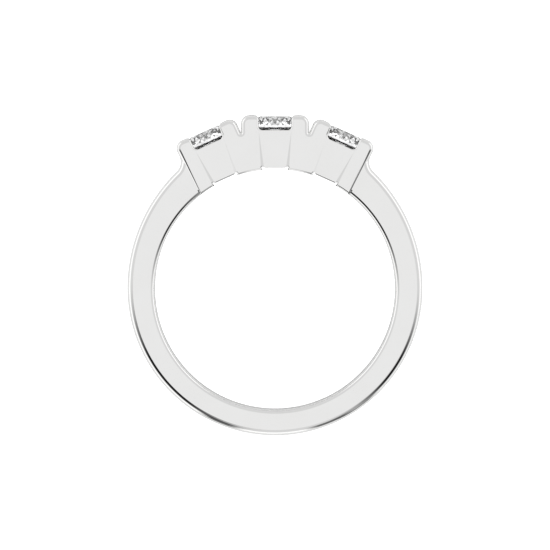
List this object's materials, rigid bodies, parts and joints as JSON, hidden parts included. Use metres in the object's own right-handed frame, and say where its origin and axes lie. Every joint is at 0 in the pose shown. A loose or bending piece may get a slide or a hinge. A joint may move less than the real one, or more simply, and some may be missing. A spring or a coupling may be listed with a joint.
{
  "type": "three stone ring",
  "caption": "Finger ring in polished white metal: a flat-sided shank with three four-claw heads in a row, each holding a round brilliant cut stone.",
  "frame": {"origin": "centre of the finger hole, half way along its width", "axes": "+Z along the finger, through the finger hole; +Y from the centre of the hole to the middle stone; +X along the row of stones, to the right as seen from +Z with +Y up"},
  "size_m": [0.021, 0.0228, 0.0046],
  "materials": {
    "white_metal": "mirror polished white gold",
    "clear_stone": "polished colourless facets"
  },
  "bodies": {
    "root": {"ring_metal": "white_metal", "stone_left": "clear_stone", "stone_middle": "clear_stone", "stone_right": "clear_stone"}
  },
  "joints": []
}
